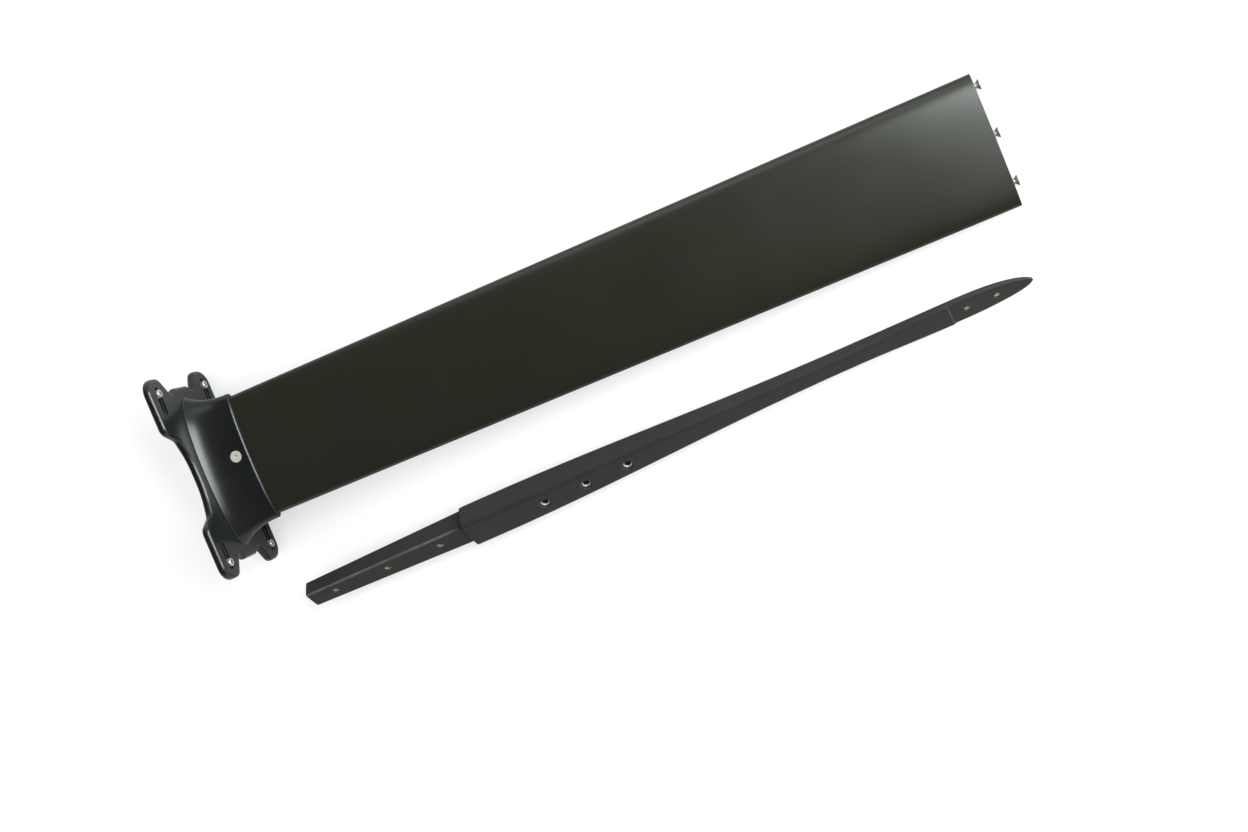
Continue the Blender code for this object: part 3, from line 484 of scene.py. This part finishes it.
def gunmetal_alloy():
    """Dark grey anodised bar with milling lines along it, a painted highlight on its ridge and bare
    countersinks.
    """
    look = Finish("gunmetal_anodised_bar", turn=FUSELAGE_TURN)
    cloud = look.ramp(look.noise(scale=10.0), low=0.0, high=1.0)
    body = look.mix(cloud, BAR_DEEP, BAR_PALE)
    patches = look.ramp(look.noise(scale=70.0), low=0.2, high=0.8)
    worn = look.product(look.edges(radius=0.6 * MM), patches)
    coat = look.mix(worn, body, BAR_WORN)
    top, run, stop = tongue_ridge()
    # painted highlight: a lighter, patchy band along the tongue's ridge, fading out along the piece
    ridge = look.around_lines([top], run, RIDGE_BAND)
    tongue = look.ramp(look.lengthwise(), low=1.0, high=0.0, start=stop - RIDGE_FADE, end=stop)
    highlight_patches = look.ramp(look.noise(scale=70.0), low=0.45, high=0.85)
    ridge_highlight = look.product(look.product(ridge, tongue), highlight_patches)
    coat = look.mix(ridge_highlight, coat, BAR_RIDGE_HIGHLIGHT)
    bare = look.around_lines(*mast_holes(), MAST_HOLE_BARE)
    lines = look.noise(scale=1.0, detail=4.0, stretch=(2.0, 900.0, 900.0))
    look.set(
        Base_Color=look.mix(bare, coat, BAR_BARE),
        Roughness=look.ramp(look.noise(scale=24.0), low=0.36, high=0.44),
        Metallic=look.ramp(bare, low=0.0, high=0.4, start=0.0, end=1.0),
        Specular_IOR_Level=0.14,
        Normal=look.bump(lines, depth=0.02 * MM, strength=0.30),
    )
    return look.material


def steel(name, colour, recess_shade, roughness, metal):
    """Turned stainless steel, with painted shade darkening its sockets."""
    look = Finish(name)
    cloud = look.ramp(look.noise(scale=400.0), low=0.0, high=1.0)
    unshaded = look.mix(cloud, colour, tuple(STEEL_DULL_SHARE * part for part in colour))
    smoother = roughness - STEEL_SMOOTHER
    rougher = roughness + STEEL_ROUGHER
    # painted shade: the colour darkens deep in recesses
    look.set(
        Base_Color=look.mix(look.hollows(reach=1.6 * MM), unshaded, recess_shade),
        Roughness=look.ramp(look.noise(scale=900.0), low=smoother, high=rougher),
        Metallic=metal,
        Normal=look.bump(look.noise(scale=2600.0, detail=2.0), depth=0.01 * MM, strength=0.25),
    )
    return look.material


def smoothing():
    """A node group that welds a faceted piece and rounds its shading, except over sharp edges."""
    group = bpy.data.node_groups.new("weld_and_smooth", "GeometryNodeTree")
    group.interface.new_socket("Geometry", in_out="INPUT", socket_type="NodeSocketGeometry")
    group.interface.new_socket("Geometry", in_out="OUTPUT", socket_type="NodeSocketGeometry")
    given = group.nodes.new("NodeGroupInput")
    plain = group.nodes.new("GeometryNodeRemoveAttribute")
    plain.inputs["Name"].default_value = "custom_normal"
    weld = group.nodes.new("GeometryNodeMergeByDistance")
    weld.inputs["Distance"].default_value = WELD_DISTANCE
    faces = group.nodes.new("GeometryNodeSetShadeSmooth")
    angle = group.nodes.new("GeometryNodeInputMeshEdgeAngle")
    sharp = group.nodes.new("FunctionNodeCompare")
    sharp.operation = "GREATER_THAN"
    sharp.inputs["B"].default_value = SMOOTH_ANGLE
    edges = group.nodes.new("GeometryNodeSetShadeSmooth")
    edges.domain = "EDGE"
    edges.inputs["Shade Smooth"].default_value = False
    made = group.nodes.new("NodeGroupOutput")
    steps = (given, plain, weld, faces, edges, made)
    for before, after in zip(steps, steps[1:]):
        group.links.new(before.outputs[0], after.inputs[0])
    group.links.new(angle.outputs["Unsigned Angle"], sharp.inputs["A"])
    group.links.new(sharp.outputs["Result"], edges.inputs["Selection"])
    return group


def smooth_nodes(nodes):
    """Rounds the shading of the nodes by modifiers, which leave their meshes alone."""
    group = smoothing()
    for node in nodes.values():
        rounded = node.modifiers.new("smooth", "NODES")
        rounded.node_group = group
        weighted = node.modifiers.new("weighted_normals", "WEIGHTED_NORMAL")
        weighted.keep_sharp = True


def dress_nodes(nodes):
    """Gives each node its finish; a fastener that is not named here is plain or bright steel."""
    alloy = black_alloy()
    casting = black_casting()
    bar = gunmetal_alloy()
    plain = steel("stainless_steel", PLAIN_STEEL, PLAIN_RECESS_SHADE, roughness=0.32, metal=0.6)
    bright = steel("bright_stainless_steel", BRIGHT_STEEL, BRIGHT_RECESS_SHADE, roughness=0.36, metal=0.3)
    looks = {
        "mast_extrusion": alloy,
        "mast_head": casting,
        "base_plate": casting,
        "fuselage_beam": bar,
        "clamp_bolt": bright,
        "clamp_sleeve_nut": bright,
    }
    for name, node in nodes.items():
        fastener = bright if name.startswith(("wing_insert", "tail_insert")) else plain
        node.data.materials.clear()
        node.data.materials.append(looks.get(name, fastener))


def shank(name, axis, head):
    """The middle of a screw's tip, and the length of its shank below the head."""
    low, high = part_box(name)
    middle = (low + high) / 2
    heights = [vertex.co.dot(axis) for vertex in frame["nodes"][name].data.vertices]
    tip = middle + axis * (min(heights) - middle.dot(axis))
    return tip, max(heights) - min(heights) - head


def add_thread(name, axis, radius, head, pitch):
    """A helical ridge wound on the shank of a screw, fading out at both ends."""
    tip, length = shank(name, axis, head)
    first = axis.orthogonal().normalized()
    second = axis.cross(first)
    count = int((length - 2 * THREAD_END_ROOM) / pitch * THREAD_STEPS)
    half_width = pitch * THREAD_WIDTH_SHARE
    foot = radius - THREAD_SINK
    work = bmesh.new()
    rows = []
    for step in range(count + 1):
        angle = 2 * pi * step / THREAD_STEPS
        out = first * cos(angle) + second * sin(angle)
        at = THREAD_END_ROOM + pitch * step / THREAD_STEPS
        fade = min(1.0, step / THREAD_FADE_STEPS, (count - step) / THREAD_FADE_STEPS)
        crest = foot + (THREAD_SINK + THREAD_HEIGHT) * max(fade, THREAD_FADE_LEAST)
        row = []
        for reach, rise in ((foot, -half_width), (crest, 0.0), (foot, half_width)):
            row.append(work.verts.new(tip + axis * (at + rise) + out * reach))
        rows.append(row)
    for low, high in zip(rows, rows[1:]):
        for side in range(len(low)):
            after = (side + 1) % len(low)
            work.faces.new((low[side], low[after], high[after], high[side]))
    work.faces.new(rows[0])
    work.faces.new(rows[-1])
    bmesh.ops.recalc_face_normals(work, faces=work.faces)
    mesh = bpy.data.meshes.new(name + "_thread")
    work.to_mesh(mesh)
    work.free()
    mesh.materials.append(frame["nodes"][name].data.materials[0])
    thread = bpy.data.objects.new(name + "_thread", mesh)
    bpy.context.scene.collection.objects.link(thread)
    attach(thread, name)


def build_threads():
    """Threads on the screws and bolts that move."""
    for number in (1, 2, 3):
        screw = f"foot_screw_{number}"
        add_thread(screw, MAST_AXIS, FOOT_SCREW_RADIUS, FOOT_SCREW_HEAD, FOOT_SCREW_PITCH)
    for number in (1, 2, 3, 4):
        bolt = f"track_bolt_{number}"
        add_thread(bolt, MAST_AXIS, TRACK_BOLT_RADIUS, TRACK_BOLT_HEAD, TRACK_BOLT_PITCH)
    add_thread("clamp_bolt", MAST_UP, CLAMP_BOLT_RADIUS, CLAMP_BOLT_HEAD, CLAMP_BOLT_PITCH)


bpy.context.scene.view_settings.view_transform = "Standard"
build_camera()
build_world()
build_stage()
add_lamp("key_light", KEY_PLACE, KEY_AIM, KEY_SIZE, KEY_POWER, KEY_TINT)
add_lamp("fill_light", FILL_PLACE, FILL_AIM, FILL_SIZE, FILL_POWER, FILL_TINT)
add_lamp("side_light", SIDE_PLACE, SIDE_AIM, SIDE_SIZE, SIDE_POWER, SIDE_TINT)
smooth_nodes(frame["nodes"])
dress_nodes(frame["nodes"])
build_threads()
